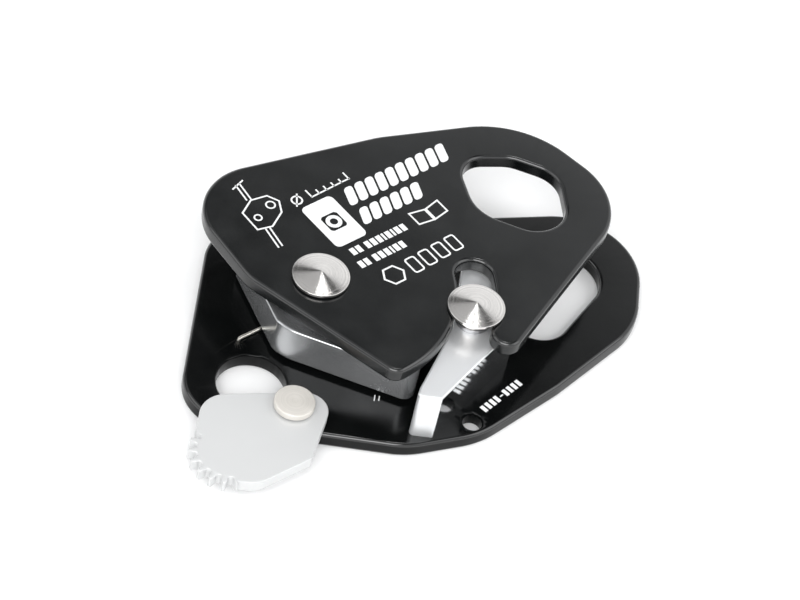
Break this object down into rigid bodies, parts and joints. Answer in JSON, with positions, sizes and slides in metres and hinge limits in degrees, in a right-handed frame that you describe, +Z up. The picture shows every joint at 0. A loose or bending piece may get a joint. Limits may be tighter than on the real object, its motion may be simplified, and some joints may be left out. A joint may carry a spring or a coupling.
{
  "type": "rope grab",
  "caption": "Flat rope clamp with a swinging side plate, a sprung polished cam, a fixed polished jaw and a toothed side lever, for an 11 mm rope.",
  "frame": {"origin": "on the main pivot's axis, at the back plate's underside", "axes": "+Z up through the two side plates, +X from the main pivot towards the latch pin"},
  "size_m": [0.108, 0.1165, 0.0244],
  "materials": {
    "front_black": "black anodised, semi-gloss",
    "back_black": "black anodised, glossy",
    "mirror_steel": "mirror-polished",
    "turned_steel": "turned",
    "pale_lever": "satin",
    "spring_wire": "drawn wire",
    "plain_steel": "plain"
  },
  "bodies": {
    "back": {"back_plate": "back_black", "main_pivot": "turned_steel", "pivot_sleeve": "plain_steel", "pivot_wave_washer": "plain_steel", "pivot_tail_ring": "plain_steel", "cam_seat_ring": "plain_steel", "cam_spring": "spring_wire", "cam_spacer": "plain_steel", "wedge_block": "mirror_steel", "wedge_screws": "plain_steel", "latch_pin": "turned_steel", "latch_collar": "turned_steel", "latch_tail_ring": "plain_steel", "lever_stud": "turned_steel", "lever_washer": "plain_steel", "lever_wave_washer": "plain_steel", "stud_tail_ring": "plain_steel"},
    "front": {"front_plate": "front_black"},
    "cam": {"cam_block": "mirror_steel"},
    "lever": {"toothed_lever": "pale_lever"}
  },
  "joints": [
    {"name": "front_plate_swing", "type": "hinge", "parent": "back", "child": "front", "pos_m": [0, 0, 0.02], "axis": [0, 0, 1], "range_deg": [-17.2, 95]},
    {"name": "cam_turn", "type": "hinge", "parent": "back", "child": "cam", "pos_m": [0, 0, 0.01], "axis": [0, 0, 1], "range_deg": [-30, 6], "stiffness_Nm_per_rad": 0.1, "deforming": ["cam_spring"]},
    {"name": "lever_swing", "type": "hinge", "parent": "back", "child": "lever", "pos_m": [-0.0003, -0.0277, 0.006], "axis": [0, 0, 1], "range_deg": [0, 57]}
  ]
}
